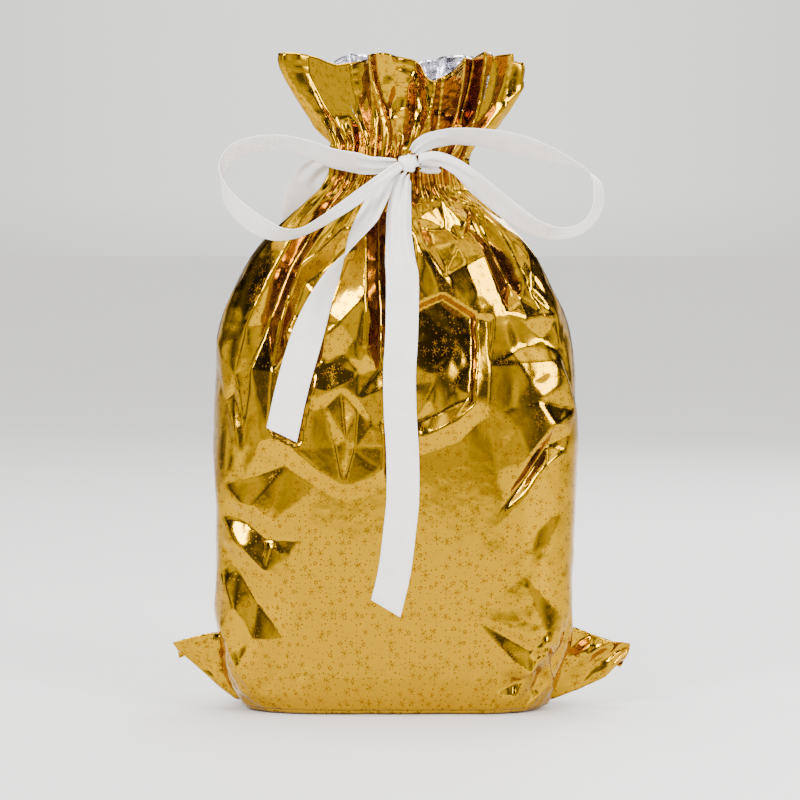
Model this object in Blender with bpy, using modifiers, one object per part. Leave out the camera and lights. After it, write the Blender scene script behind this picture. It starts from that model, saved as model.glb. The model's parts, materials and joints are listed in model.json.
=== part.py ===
"""Drawstring gift bag in metallised film, tied with a satin ribbon bow.

The bag stands on the floor at z = 0 with its front towards -Y. Lengths below are in millimetres and
become metres where a mesh is made.
"""

import math

import bmesh
import bpy
from mathutils import Vector

MM = 0.001

# Film. The real film is far thinner: these solids carry the shape, the mass and the contact.
FILM_WALL = 1.0
GAP = 0.3
BASE_TOP = 1.2
PANEL_BOTTOM = BASE_TOP + GAP

# Body: height, half width, half depth, squareness of the section (2 is an ellipse), and shift along X.
BODY = [
    (0.0, 72.0, 26.0, 4.0, 0.0),
    (8.0, 80.5, 30.0, 4.0, 0.0),
    (18.0, 85.0, 32.0, 4.0, 0.0),
    (40.0, 88.5, 33.0, 3.8, 0.0),
    (80.0, 90.0, 34.0, 3.6, 0.0),
    (130.0, 91.0, 33.5, 3.4, 0.0),
    (170.0, 89.0, 31.5, 3.1, 0.0),
    (192.0, 86.5, 29.5, 2.9, 0.0),
    (210.0, 80.5, 27.0, 2.7, 0.0),
    (228.0, 70.0, 23.5, 2.6, 0.0),
    (243.0, 56.5, 19.5, 2.5, 0.5),
    (255.0, 43.5, 16.5, 2.3, 1.5),
    (264.0, 35.5, 14.5, 2.2, 2.0),
    (276.0, 34.0, 14.0, 2.2, 2.0),
]
BODY_RINGS = 34
HALF_RING = 28

# Collar: the frill above the tie, in the same terms, with the depth of its pleats.
COLLAR = [
    (282.0, 36.0, 14.0, 2.2, 3.5, 0.5),
    (290.0, 43.0, 14.5, 2.3, 5.0, 1.5),
    (302.0, 51.0, 15.0, 2.4, 5.0, 2.2),
    (314.0, 57.0, 15.5, 2.5, 4.0, 2.8),
    (326.0, 60.0, 16.0, 2.6, 4.0, 3.2),
]
COLLAR_RINGS = 10
PLEATS = 18
RIM_WAVE = 3.0
RIM_PHASE = 0.6

# Drawstring at the neck: the ribbon inside the film, then the channel strip inside the ribbon.
NECK_LOW = 264.5
NECK_HIGH = 275.5
NECK_ROWS = 4
NECK_RIBBON_WALL = 0.8
STRIP_WALL = 0.6

# Bow
RIBBON_WIDTH = 16.0
RIBBON_WALL = 0.8
RIBBON_ACROSS = (-0.5, -0.25, 0.0, 0.25, 0.5)
KNOT_CENTRE = (7.0, -19.8, 272.5)
KNOT_RADII = (5.5, 4.6, 5.0)
KNOT_CLEARANCE = 1.0

# Corner ears beside the base
EAR_HALF_THICKNESS = 2.2
EAR_TAPER = 0.7

GOLD = ("gold_film", (0.80, 0.55, 0.03), 0.22, 1.0)
SILVER = ("silver_film", (0.72, 0.71, 0.76), 0.25, 1.0)
SATIN = ("white_satin", (0.90, 0.89, 0.88), 0.45, 0.0)

for old in list(bpy.data.objects):
    bpy.data.objects.remove(old, do_unlink=True)

bag = bpy.data.collections.new("gift_bag")
bpy.context.scene.collection.children.link(bag)


def material(finish):
    """The Principled material of a finish, made once."""
    name, colour, roughness, metallic = finish
    made = bpy.data.materials.get(name)
    if made is None:
        made = bpy.data.materials.new(name)
        made.use_nodes = True
        shader = made.node_tree.nodes["Principled BSDF"]
        shader.inputs["Base Color"].default_value = (*colour, 1.0)
        shader.inputs["Roughness"].default_value = roughness
        shader.inputs["Metallic"].default_value = metallic
        made.diffuse_color = (*colour, 1.0)
    return made


def node(name, points, faces, finish, pivot=None, wall=0.0, side=0.0):
    """An object from faces in millimetres, its origin on the pivot empty, thickened by Solidify."""
    centre = Vector(pivot.location) if pivot else Vector()
    mesh = bpy.data.meshes.new(name)
    mesh.from_pydata([Vector(p) * MM - centre for p in points], [], faces)
    made = bpy.data.objects.new(name, mesh)
    bag.objects.link(made)
    made.data.materials.append(material(finish))
    made.parent = pivot
    shape = bmesh.new()
    shape.from_mesh(mesh)
    bmesh.ops.recalc_face_normals(shape, faces=shape.faces)
    shape.to_mesh(mesh)
    shape.free()
    if wall:
        shell = made.modifiers.new("wall", "SOLIDIFY")
        shell.thickness = wall * MM
        shell.offset = side
    for face in mesh.polygons:
        face.use_smooth = True
    return made


def pivot_at(name, place):
    """An empty on a joint's axis."""
    empty = bpy.data.objects.new(name, None)
    empty.location = Vector(place) * MM
    empty.empty_display_size = 0.01
    bag.objects.link(empty)
    bpy.context.view_layer.update()
    return empty


def between(rows, height):
    """The row at a height, eased between the listed rows."""
    if height <= rows[0][0]:
        return rows[0][1:]
    if height >= rows[-1][0]:
        return rows[-1][1:]
    last = next(i for i, row in enumerate(rows) if row[0] >= height)
    before = rows[max(last - 2, 0)]
    low = rows[last - 1]
    high = rows[last]
    after = rows[min(last + 1, len(rows) - 1)]
    t = (height - low[0]) / (high[0] - low[0])
    span = high[0] - low[0]
    values = []
    for k in range(1, len(low)):
        slope_low = (high[k] - before[k]) / (high[0] - before[0]) * span
        slope_high = (after[k] - low[k]) / (after[0] - low[0]) * span
        values.append(
            (2 * t**3 - 3 * t**2 + 1) * low[k]
            + (t**3 - 2 * t**2 + t) * slope_low
            + (3 * t**2 - 2 * t**3) * high[k]
            + (t**3 - t**2) * slope_high
        )
    return values


def ring_point(angle, half_width, half_depth, squareness, shift):
    """A point of a section between a rectangle and an ellipse."""
    power = 2.0 / squareness
    across = math.copysign(abs(math.cos(angle)) ** power, math.cos(angle))
    along = math.copysign(abs(math.sin(angle)) ** power, math.sin(angle))
    return shift + half_width * across, half_depth * along


def half_angles(front):
    """Angles over one half of a section, from side seam to side seam."""
    start = math.pi if front else 0.0
    return [start + math.pi * i / HALF_RING for i in range(HALF_RING + 1)]


def clear_of_seam(y, front):
    """Keeps a panel's edge half a gap away from the side seam."""
    return min(y, -GAP / 2) if front else max(y, GAP / 2)


def grid(rows, columns, closed=False):
    """Faces of a grid of points listed row by row; closed joins the last column to the first."""
    faces = []
    for r in range(rows - 1):
        for c in range(columns if closed else columns - 1):
            low = r * columns
            high = low + columns
            after = (c + 1) % columns
            faces.append((low + c, low + after, high + after, high + c))
    return faces


def panel(name, front):
    """Half of the film body, from the base to the neck."""
    top = BODY[-1][0]
    points = []
    for i in range(BODY_RINGS):
        height = PANEL_BOTTOM + (top - PANEL_BOTTOM) * i / (BODY_RINGS - 1)
        section = between(BODY, height)
        for angle in half_angles(front):
            x, y = ring_point(angle, *section)
            points.append((x, clear_of_seam(y, front), height))
    return node(name, points, grid(BODY_RINGS, HALF_RING + 1), GOLD, wall=FILM_WALL, side=-1.0)


def collar_panel(name, front, pivot):
    """Half of the frill above the tie, pleated and waved at its rim."""
    points = []
    for i in range(COLLAR_RINGS):
        share = i / (COLLAR_RINGS - 1)
        height = COLLAR[0][0] + (COLLAR[-1][0] - COLLAR[0][0]) * share
        half_width, half_depth, squareness, shift, pleat = between(COLLAR, height)
        for angle in half_angles(front):
            wave = math.cos(PLEATS * angle)
            near_side = abs(math.sin(angle))
            x, y = ring_point(angle, half_width, half_depth + pleat * wave * near_side, squareness, shift)
            lift = RIM_WAVE * share * math.cos(0.5 * PLEATS * angle + RIM_PHASE)
            points.append((x, clear_of_seam(y, front), height + lift))
    return node(name, points, grid(COLLAR_RINGS, HALF_RING + 1), GOLD, pivot, FILM_WALL, 1.0)


def base_plate():
    """The gusset's flat face, which the bag stands on."""
    outline = bpy.data.curves.new("bottom_gusset", "CURVE")
    outline.dimensions = "2D"
    outline.fill_mode = "BOTH"
    outline.extrude = BASE_TOP / 2 * MM
    count = 2 * HALF_RING
    spline = outline.splines.new("POLY")
    spline.points.add(count - 1)
    spline.use_cyclic_u = True
    for i in range(count):
        x, y = ring_point(math.tau * i / count, *BODY[0][1:])
        spline.points[i].co = (x * MM, y * MM, 0.0, 1.0)
    made = bpy.data.objects.new("bottom_gusset", outline)
    made.location.z = BASE_TOP / 2 * MM
    made.data.materials.append(material(GOLD))
    bag.objects.link(made)
    return made


def neck_band(name, halves, inset, wall, finish):
    """A band round the inside of the neck, set in from the film's outside.

    halves lists the sides it covers, True for the front: both halves make a closed ring.
    """
    closed = len(halves) == 2
    angles = [angle for front in halves for angle in half_angles(front)[: HALF_RING + 1 - closed]]
    points = []
    for i in range(NECK_ROWS):
        height = NECK_LOW + (NECK_HIGH - NECK_LOW) * i / (NECK_ROWS - 1)
        half_width, half_depth, squareness, shift = between(BODY, height)
        for angle in angles:
            x, y = ring_point(angle, half_width - inset, half_depth - inset, squareness, shift)
            points.append((x, y if closed else clear_of_seam(y, halves[0]), height))
    return node(name, points, grid(NECK_ROWS, len(angles), closed), finish, wall=wall, side=-1.0)


def corner_ear(name, outline, pivot):
    """A corner of the film that stands out beside the base: a flat triangle, thicker at its root.

    The outline lists pairs of points in X and Z, upper and lower, from the root to the tip.
    """
    points = []
    for i, (upper, lower) in enumerate(outline):
        half = EAR_HALF_THICKNESS * (1.0 - EAR_TAPER * i / (len(outline) - 1))
        for y in (-half, half):
            points.append((upper[0], y, upper[1]))
            points.append((lower[0], y, lower[1]))
    faces = []
    for i in range(len(outline) - 1):
        a = 4 * i
        b = a + 4
        faces += [
            (a, a + 1, b + 1, b),
            (a + 2, b + 2, b + 3, a + 3),
            (a, b, b + 2, a + 2),
            (a + 1, a + 3, b + 3, b + 1),
        ]
    end = 4 * (len(outline) - 1)
    faces += [(0, 2, 3, 1), (end, end + 1, end + 3, end + 2)]
    return node(name, points, faces, GOLD, pivot)


def knot_exit(direction):
    """The point just outside the knot in a direction from its centre."""
    d = Vector(direction).normalized()
    reach = 1.0 / math.sqrt(sum((d[k] / KNOT_RADII[k]) ** 2 for k in range(3)))
    return tuple(KNOT_CENTRE[k] + d[k] * (reach + KNOT_CLEARANCE) for k in range(3))


def smooth_route(route, steps=4):
    """Points on the smooth curve through the route's rows, which may hold more than a place."""
    made = []
    for i in range(len(route) - 1):
        a = route[max(i - 1, 0)]
        b = route[i]
        c = route[i + 1]
        d = route[min(i + 2, len(route) - 1)]
        for step in range(steps):
            t = step / steps
            made.append(
                [
                    0.5
                    * (
                        2 * b[k]
                        + (c[k] - a[k]) * t
                        + (2 * a[k] - 5 * b[k] + 4 * c[k] - d[k]) * t**2
                        + (3 * b[k] - a[k] - 3 * c[k] + d[k]) * t**3
                    )
                    for k in range(len(b))
                ]
            )
    made.append(list(route[-1]))
    return made


def ribbon(name, route, pivot=None):
    """A flat ribbon along rows of x, y, z, roll and width.

    Roll is how far the ribbon's face is turned from the front: 0 shows its whole width, 90 its edge.
    """
    rows = smooth_route(route)
    points = []
    for i, (x, y, z, roll, width) in enumerate(rows):
        ahead = Vector(rows[min(i + 1, len(rows) - 1)][:3])
        behind = Vector(rows[max(i - 1, 0)][:3])
        tangent = (ahead - behind).normalized()
        in_front_view = Vector((-tangent.z, 0.0, tangent.x)).normalized()
        turn = math.radians(roll)
        across = in_front_view * math.cos(turn) + Vector((0.0, 1.0, 0.0)) * math.sin(turn)
        across = (across - tangent * across.dot(tangent)).normalized()
        middle = Vector((x, y, z))
        for share in RIBBON_ACROSS:
            points.append(middle + across * (width * share))
    return node(name, points, grid(len(rows), len(RIBBON_ACROSS)), SATIN, pivot, RIBBON_WALL, 0.0)


# Film body
panel("front_panel", True)
panel("back_panel", False)
base_plate()

# Drawstring channel inside the neck
ribbon_inset = FILM_WALL + GAP
strip_inset = ribbon_inset + NECK_RIBBON_WALL + GAP
neck_band("neck_ribbon", (True, False), ribbon_inset, NECK_RIBBON_WALL, SATIN)
neck_band("front_channel_strip", (True,), strip_inset, STRIP_WALL, SILVER)
neck_band("back_channel_strip", (False,), strip_inset, STRIP_WALL, SILVER)

# Frill above the tie
collar_pivot = pivot_at("collar_pivot", (5.0, 0.0, 276.0))
collar_panel("collar_front", True, collar_pivot)
collar_panel("collar_back", False, collar_pivot)

# Corner ears
left_ear_pivot = pivot_at("left_ear_pivot", (-87.55, 0.0, 23.0))
corner_ear(
    "left_corner_ear",
    [
        ((-90.3, 39.0), (-84.8, 7.0)),
        ((-97.5, 38.0), (-91.5, 12.5)),
        ((-104.5, 35.5), (-99.0, 18.5)),
        ((-111.5, 32.5), (-106.0, 24.0)),
    ],
    left_ear_pivot,
)
right_ear_pivot = pivot_at("right_ear_pivot", (87.8, 0.0, 25.0))
corner_ear(
    "right_corner_ear",
    [
        ((90.8, 43.0), (84.8, 7.0)),
        ((99.5, 38.5), (93.0, 11.0)),
        ((109.0, 34.0), (101.5, 15.5)),
        ((118.5, 30.5), (112.0, 23.0)),
    ],
    right_ear_pivot,
)

# Bow
knot_place = Vector(KNOT_CENTRE) * MM
bpy.ops.mesh.primitive_uv_sphere_add(segments=24, ring_count=14, radius=1.0, location=knot_place)
knot = bpy.context.active_object
knot.name = "knot"
knot.scale = Vector(KNOT_RADII) * MM
bpy.ops.object.transform_apply(location=False, rotation=False, scale=True)
knot.data.materials.append(material(SATIN))
for face in knot.data.polygons:
    face.use_smooth = True
for holder in list(knot.users_collection):
    holder.objects.unlink(knot)
bag.objects.link(knot)

# Ribbon routes, chosen by hand: x, y, z of the middle line, roll and width.
left_loop_pivot = pivot_at("left_loop_pivot", KNOT_CENTRE)
ribbon(
    "left_loop",
    [
        (*knot_exit((-1.0, 0.0, 0.0)), 20.0, 4.5),
        (-10.0, -22.5, 271.5, 46.0, 12.0),
        (-18.3, -22.5, 272.4, 53.0, RIBBON_WIDTH),
        (-29.8, -21.0, 274.8, 56.0, RIBBON_WIDTH),
        (-41.3, -18.5, 279.0, 60.0, RIBBON_WIDTH),
        (-52.8, -15.5, 281.8, 62.0, RIBBON_WIDTH),
        (-64.3, -12.0, 282.2, 62.0, RIBBON_WIDTH),
        (-75.5, -9.5, 279.8, 63.0, RIBBON_WIDTH),
        (-82.8, -9.0, 274.8, 70.0, RIBBON_WIDTH),
        (-86.0, -11.0, 267.0, 84.0, RIBBON_WIDTH),
        (-84.3, -15.5, 258.3, 108.0, RIBBON_WIDTH),
        (-78.3, -20.5, 250.6, 121.0, RIBBON_WIDTH),
        (-69.5, -26.0, 243.6, 126.0, RIBBON_WIDTH),
        (-60.3, -31.0, 239.4, 122.0, RIBBON_WIDTH),
        (-51.9, -34.0, 238.0, 110.0, RIBBON_WIDTH),
        (-44.0, -35.5, 239.3, 104.0, RIBBON_WIDTH),
        (-33.5, -35.5, 245.0, 106.0, RIBBON_WIDTH),
        (-22.0, -33.0, 252.6, 110.0, 14.0),
        (-10.5, -30.0, 261.0, 112.0, 10.0),
        (-3.0, -27.0, 267.0, 112.0, 6.0),
        (*knot_exit((-0.75, -0.6, -0.25)), 112.0, 3.5),
    ],
    left_loop_pivot,
)
right_loop_pivot = pivot_at("right_loop_pivot", KNOT_CENTRE)
ribbon(
    "right_loop",
    [
        (*knot_exit((0.35, 0.0, 1.0)), -20.0, 4.5),
        (11.9, -21.0, 281.2, -40.0, 8.0),
        (18.0, -22.0, 284.4, -56.0, 13.0),
        (27.2, -23.5, 285.6, -62.0, RIBBON_WIDTH),
        (38.7, -22.5, 285.4, -60.0, RIBBON_WIDTH),
        (50.2, -20.0, 284.0, -57.0, RIBBON_WIDTH),
        (61.7, -16.0, 281.3, -55.0, RIBBON_WIDTH),
        (73.2, -12.0, 277.9, -62.0, RIBBON_WIDTH),
        (84.7, -9.0, 274.0, -76.0, RIBBON_WIDTH),
        (94.6, -9.0, 269.4, -90.0, RIBBON_WIDTH),
        (100.4, -10.5, 263.5, -104.0, RIBBON_WIDTH),
        (101.0, -14.5, 256.0, -112.0, RIBBON_WIDTH),
        (98.4, -19.0, 247.6, -110.0, RIBBON_WIDTH),
        (91.5, -24.0, 240.4, -108.0, RIBBON_WIDTH),
        (80.8, -28.0, 237.8, -110.0, RIBBON_WIDTH),
        (69.3, -30.0, 240.7, -118.0, RIBBON_WIDTH),
        (58.6, -30.0, 247.3, -125.0, RIBBON_WIDTH),
        (47.9, -29.0, 255.7, -126.0, RIBBON_WIDTH),
        (38.7, -27.5, 263.3, -124.0, RIBBON_WIDTH),
        (29.5, -26.0, 270.2, -122.0, 13.0),
        (20.5, -24.0, 274.6, -120.0, 8.0),
        (*knot_exit((0.9, -0.45, 0.35)), -118.0, 4.0),
    ],
    right_loop_pivot,
)
ribbon(
    "left_tail_root",
    [
        (*knot_exit((-0.6, 0.15, -0.7)), -10.0, 4.0),
        (-3.5, -18.7, 263.0, -30.0, 8.0),
        (-7.8, -21.2, 256.0, -40.0, 12.0),
        (-12.0, -24.5, 248.0, -48.0, 15.0),
    ],
)
left_tail_pivot = pivot_at("left_tail_pivot", (-12.3, -24.7, 247.5))
ribbon(
    "left_tail",
    [
        (-12.4, -24.9, 247.1, -49.0, 15.0),
        (-14.6, -26.5, 243.3, -56.0, RIBBON_WIDTH),
        (-18.8, -29.3, 236.5, -68.0, RIBBON_WIDTH),
        (-22.4, -31.5, 229.8, -84.0, RIBBON_WIDTH),
        (-26.6, -33.2, 223.2, -104.0, RIBBON_WIDTH),
        (-30.6, -34.2, 216.8, -118.0, RIBBON_WIDTH),
        (-35.8, -34.8, 206.5, -134.0, RIBBON_WIDTH),
        (-41.2, -34.2, 192.0, -158.0, RIBBON_WIDTH),
        (-46.3, -33.2, 176.0, -176.0, RIBBON_WIDTH),
        (-50.8, -33.2, 159.5, -180.0, RIBBON_WIDTH),
        (-55.2, -33.8, 139.3, -180.0, RIBBON_WIDTH),
    ],
    left_tail_pivot,
)
ribbon(
    "right_tail_root",
    [
        (*knot_exit((-0.2, -0.1, -1.0)), 0.0, 3.5),
        (5.2, -21.3, 265.8, 0.0, 6.0),
    ],
)
right_tail_pivot = pivot_at("right_tail_pivot", (4.5, -21.6, 264.5))
ribbon(
    "right_tail",
    [
        (4.6, -21.9, 264.2, 0.0, 7.4),
        (3.2, -22.8, 257.0, 0.0, 10.0),
        (2.3, -24.2, 248.0, 0.0, 12.0),
        (2.2, -26.0, 238.5, 0.0, 12.5),
        (3.0, -28.6, 224.0, 0.0, 15.0),
        (4.0, -30.0, 215.0, 0.0, RIBBON_WIDTH),
        (3.6, -33.0, 188.0, 0.0, RIBBON_WIDTH),
        (2.6, -34.6, 170.0, 0.0, RIBBON_WIDTH),
        (2.9, -35.4, 150.0, 0.0, RIBBON_WIDTH),
        (4.0, -35.8, 132.0, 0.0, RIBBON_WIDTH),
        (4.2, -36.0, 109.5, 0.0, RIBBON_WIDTH),
        (2.7, -36.0, 93.0, 0.0, RIBBON_WIDTH),
        (0.0, -35.9, 72.0, 0.0, RIBBON_WIDTH),
        (-4.2, -35.6, 54.0, 0.0, RIBBON_WIDTH),
    ],
    right_tail_pivot,
)
ribbon(
    "ribbon_lead",
    [
        (*knot_exit((1.0, 0.35, -0.2)), 0.0, 5.0),
        (17.0, -15.4, 271.0, 0.0, 7.0),
        (22.5, -13.4, 270.6, 0.0, 6.0),
    ],
)
ribbon(
    "rear_loop",
    [
        (-34.0, 8.0, 272.5, 10.0, 10.0),
        (-39.5, 11.0, 268.5, 10.0, 14.0),
        (-45.0, 13.5, 261.5, 0.0, RIBBON_WIDTH),
        (-48.0, 16.0, 253.0, 0.0, RIBBON_WIDTH),
        (-49.0, 19.5, 244.0, 0.0, RIBBON_WIDTH),
        (-48.0, 24.0, 234.5, 0.0, RIBBON_WIDTH),
        (-44.0, 28.0, 226.0, 0.0, RIBBON_WIDTH),
        (-36.5, 31.0, 220.5, 0.0, RIBBON_WIDTH),
        (-27.0, 31.5, 221.5, 0.0, RIBBON_WIDTH),
        (-18.0, 29.5, 228.5, 0.0, RIBBON_WIDTH),
        (-11.5, 26.0, 239.0, 0.0, RIBBON_WIDTH),
        (-7.5, 22.0, 250.5, 0.0, 14.0),
        (-5.0, 18.5, 261.0, 0.0, 10.0),
        (-3.5, 16.5, 269.0, 0.0, 8.0),
    ],
)
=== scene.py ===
"""The looks of the gift bag: crumpled gold film, satin ribbon bow, camera and soft studio light."""

import json
import math

import bmesh
import bpy
import numpy as np
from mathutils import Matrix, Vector
from mathutils.bvhtree import BVHTree
from mathutils.geometry import delaunay_2d_cdt
from mathutils.noise import noise as blender_noise


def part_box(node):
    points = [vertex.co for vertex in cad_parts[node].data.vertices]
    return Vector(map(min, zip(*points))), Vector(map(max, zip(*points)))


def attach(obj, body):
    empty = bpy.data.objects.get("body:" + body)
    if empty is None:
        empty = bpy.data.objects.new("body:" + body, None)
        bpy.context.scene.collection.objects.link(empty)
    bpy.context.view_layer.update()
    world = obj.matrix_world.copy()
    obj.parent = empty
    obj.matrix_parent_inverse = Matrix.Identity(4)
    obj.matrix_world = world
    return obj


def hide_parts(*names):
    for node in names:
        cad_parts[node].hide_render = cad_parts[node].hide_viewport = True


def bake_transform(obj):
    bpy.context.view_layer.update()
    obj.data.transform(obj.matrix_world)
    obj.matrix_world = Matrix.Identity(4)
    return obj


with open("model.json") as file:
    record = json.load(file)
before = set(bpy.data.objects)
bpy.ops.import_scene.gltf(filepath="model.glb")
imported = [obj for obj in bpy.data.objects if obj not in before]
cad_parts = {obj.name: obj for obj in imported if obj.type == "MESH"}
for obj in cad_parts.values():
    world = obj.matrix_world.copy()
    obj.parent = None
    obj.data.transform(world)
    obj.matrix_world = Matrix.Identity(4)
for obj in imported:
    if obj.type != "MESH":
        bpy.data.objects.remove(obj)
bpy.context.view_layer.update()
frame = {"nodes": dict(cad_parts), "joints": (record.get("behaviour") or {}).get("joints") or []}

MM = 0.001


# ---- camera and stage

VIEW_WIDTH = 0.400
CAMERA_DISTANCE = 1.7
CAMERA_RISE = math.radians(3.5)
LOOK_AT = Vector((0.0028, 0.0, 0.1545))

camera_data = bpy.data.cameras.new("camera")
camera_data.sensor_width = 36.0
camera_data.lens = camera_data.sensor_width * CAMERA_DISTANCE / VIEW_WIDTH
camera_data.clip_end = 20.0
camera = bpy.data.objects.new("camera", camera_data)
bpy.context.collection.objects.link(camera)
away = Vector((0.0, -math.cos(CAMERA_RISE), math.sin(CAMERA_RISE)))
camera.location = LOOK_AT + away * CAMERA_DISTANCE
camera.rotation_euler = (-away).to_track_quat("-Z", "Y").to_euler()
bpy.context.scene.camera = camera


# ---- helpers


def mesh_object(name, points, faces):
    """A smooth-shaded mesh object in the scene from points in metres."""
    mesh = bpy.data.meshes.new(name)
    mesh.from_pydata([tuple(p) for p in points], [], faces)
    mesh.polygons.foreach_set("use_smooth", [True] * len(mesh.polygons))
    made = bpy.data.objects.new(name, mesh)
    bpy.context.collection.objects.link(made)
    return made


def grid_faces(rows, columns):
    """Faces of a grid of points listed row by row."""
    starts = [r * columns + c for r in range(rows - 1) for c in range(columns - 1)]
    return [(start, start + 1, start + columns + 1, start + columns) for start in starts]


def write_uv(obj, uv):
    """Gives each vertex's flat place, in metres, as the UV map."""
    layer = obj.data.uv_layers.new(name="UVMap")
    corners = np.empty(len(obj.data.loops), int)
    obj.data.loops.foreach_get("vertex_index", corners)
    layer.data.foreach_set("uv", np.asarray(uv, float)[corners].ravel())


def apply_modifiers(obj):
    """Makes what the modifiers give the object's own mesh."""
    depsgraph = bpy.context.evaluated_depsgraph_get()
    made = bpy.data.meshes.new_from_object(obj.evaluated_get(depsgraph))
    obj.modifiers.clear()
    old = obj.data
    obj.data = made
    bpy.data.meshes.remove(old)


def smooth_step(low, high, value):
    """0 below low, 1 above high and an eased share between them."""
    t = np.clip((np.asarray(value, float) - low) / (high - low), 0.0, 1.0)
    return t * t * (3.0 - 2.0 * t)


# ---- materials


class Nodes:
    """Short calls for building the node tree of a material or the world, up to its own last shader."""

    def __init__(self, owner, shader="Principled BSDF"):
        owner.use_nodes = True
        self.owner = owner
        self.tree = owner.node_tree
        self.shader = self.tree.nodes[shader]

    def add(self, kind, **settings):
        """A new node with its settings."""
        made = self.tree.nodes.new(kind)
        for key, value in settings.items():
            setattr(made, key, value)
        return made

    def link(self, source, target):
        self.tree.links.new(source, target)

    def parts(self, source):
        """The three parts of a vector."""
        made = self.add("ShaderNodeSeparateXYZ")
        self.link(source, made.inputs[0])
        return made.outputs

    def value(self, operation, a, b=0.0):
        """The result of a sum on sockets or numbers."""
        made = self.add("ShaderNodeMath", operation=operation)
        for socket, given in zip(made.inputs, (a, b)):
            if isinstance(given, (int, float)):
                socket.default_value = given
            else:
                self.link(given, socket)
        return made.outputs[0]

    def ramp(self, source, stops):
        """The colour at the source's place between the stops, each a place and a colour."""
        made = self.add("ShaderNodeValToRGB")
        made.color_ramp.elements.remove(made.color_ramp.elements[1])
        for i, (place, colour) in enumerate(stops):
            element = made.color_ramp.elements[0] if i == 0 else made.color_ramp.elements.new(place)
            element.position = place
            element.color = (*colour, 1.0)
        self.link(source, made.inputs[0])
        return made.outputs[0]

    def between(self, source, low, high):
        """The source from 0 to 1 turned into a value from low to high."""
        made = self.add("ShaderNodeMapRange")
        self.link(source, made.inputs["Value"])
        made.inputs["To Min"].default_value = low
        made.inputs["To Max"].default_value = high
        return made.outputs[0]

    def bump(self, height, distance, strength, normal=None):
        """A normal bent by a height, on top of another normal if one is given."""
        made = self.add("ShaderNodeBump")
        made.inputs["Distance"].default_value = distance
        made.inputs["Strength"].default_value = strength
        self.link(height, made.inputs["Height"])
        if normal is not None:
            self.link(normal, made.inputs["Normal"])
        return made.outputs[0]

    def noise(self, vector, scale, detail):
        """Soft noise from 0 to 1."""
        made = self.add("ShaderNodeTexNoise")
        made.inputs["Scale"].default_value = scale
        made.inputs["Detail"].default_value = detail
        self.link(vector, made.inputs["Vector"])
        return made.outputs[0]


STAR_SPACING = 0.0062
STAR_SMALLEST = 0.0015
STAR_SPREAD = 0.0013
SPOKE_WIDTH = 0.00042
RING_RADIUS = 0.0008
RING_WIDTH = 0.00022
DOT_SPACING = 0.0027
DOT_SMALLEST = 0.00022
DOT_SPREAD = 0.00028
# shares of the scattered places that hold no star, a ring, or no dot
NO_STAR = 0.45
RING_SHARE = 0.25
NO_DOT = 0.35


def scattered(n, flat, spacing, seed):
    """Distance from and angle about the middle of the nearest scattered place, and a random value for it."""
    shift = n.add("ShaderNodeVectorMath", operation="ADD")
    n.link(flat, shift.inputs[0])
    shift.inputs[1].default_value = (seed * 0.37, seed * 0.11, 0.0)
    cells = n.add("ShaderNodeTexVoronoi", voronoi_dimensions="2D", feature="F1")
    cells.inputs["Scale"].default_value = 1.0 / spacing
    cells.inputs["Randomness"].default_value = 0.75
    n.link(shift.outputs[0], cells.inputs["Vector"])
    offset = n.add("ShaderNodeVectorMath", operation="SUBTRACT")
    n.link(shift.outputs[0], offset.inputs[0])
    n.link(cells.outputs["Position"], offset.inputs[1])
    parts = n.parts(offset.outputs[0])
    length = n.add("ShaderNodeVectorMath", operation="LENGTH")
    n.link(offset.outputs[0], length.inputs[0])
    angle = n.value("ARCTAN2", parts[1], parts[0])
    pick = n.add("ShaderNodeSeparateColor")
    n.link(cells.outputs["Color"], pick.inputs[0])
    return length.outputs["Value"], angle, pick.outputs[0], pick.outputs[1]


def star_pattern(n, flat):
    """Stars, rings and dots printed on the film: 1 on a mark and 0 off it."""
    reach, angle, kind, turn = scattered(n, flat, STAR_SPACING, 1.0)
    turned = n.value("ADD", n.value("MULTIPLY", angle, 3.0), n.value("MULTIPLY", turn, 6.0))
    spoke = n.value("ABSOLUTE", n.value("SINE", turned))
    on_spoke = n.value("LESS_THAN", n.value("MULTIPLY", spoke, reach), SPOKE_WIDTH)
    size = n.value("ADD", STAR_SMALLEST, n.value("MULTIPLY", turn, STAR_SPREAD))
    star = n.value("MULTIPLY", on_spoke, n.value("LESS_THAN", reach, size))
    star = n.value("MULTIPLY", star, n.value("GREATER_THAN", kind, NO_STAR))
    off_ring = n.value("ABSOLUTE", n.value("SUBTRACT", reach, RING_RADIUS))
    ring = n.value("LESS_THAN", off_ring, RING_WIDTH)
    ring = n.value("MULTIPLY", ring, n.value("LESS_THAN", kind, RING_SHARE))
    reach, _, kind, turn = scattered(n, flat, DOT_SPACING, 2.0)
    dot_size = n.value("ADD", DOT_SMALLEST, n.value("MULTIPLY", turn, DOT_SPREAD))
    dot = n.value("MULTIPLY", n.value("LESS_THAN", reach, dot_size), n.value("GREATER_THAN", kind, NO_DOT))
    return n.value("MAXIMUM", n.value("MAXIMUM", star, ring), dot)


# how many crinkles, cracks and grains of the film there are to a metre, and how much rougher the marks are
CRINKLES = 60.0
CRACKS = 150.0
GRAINS = 900.0
MARK_ROUGHNESS = 0.22


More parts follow.
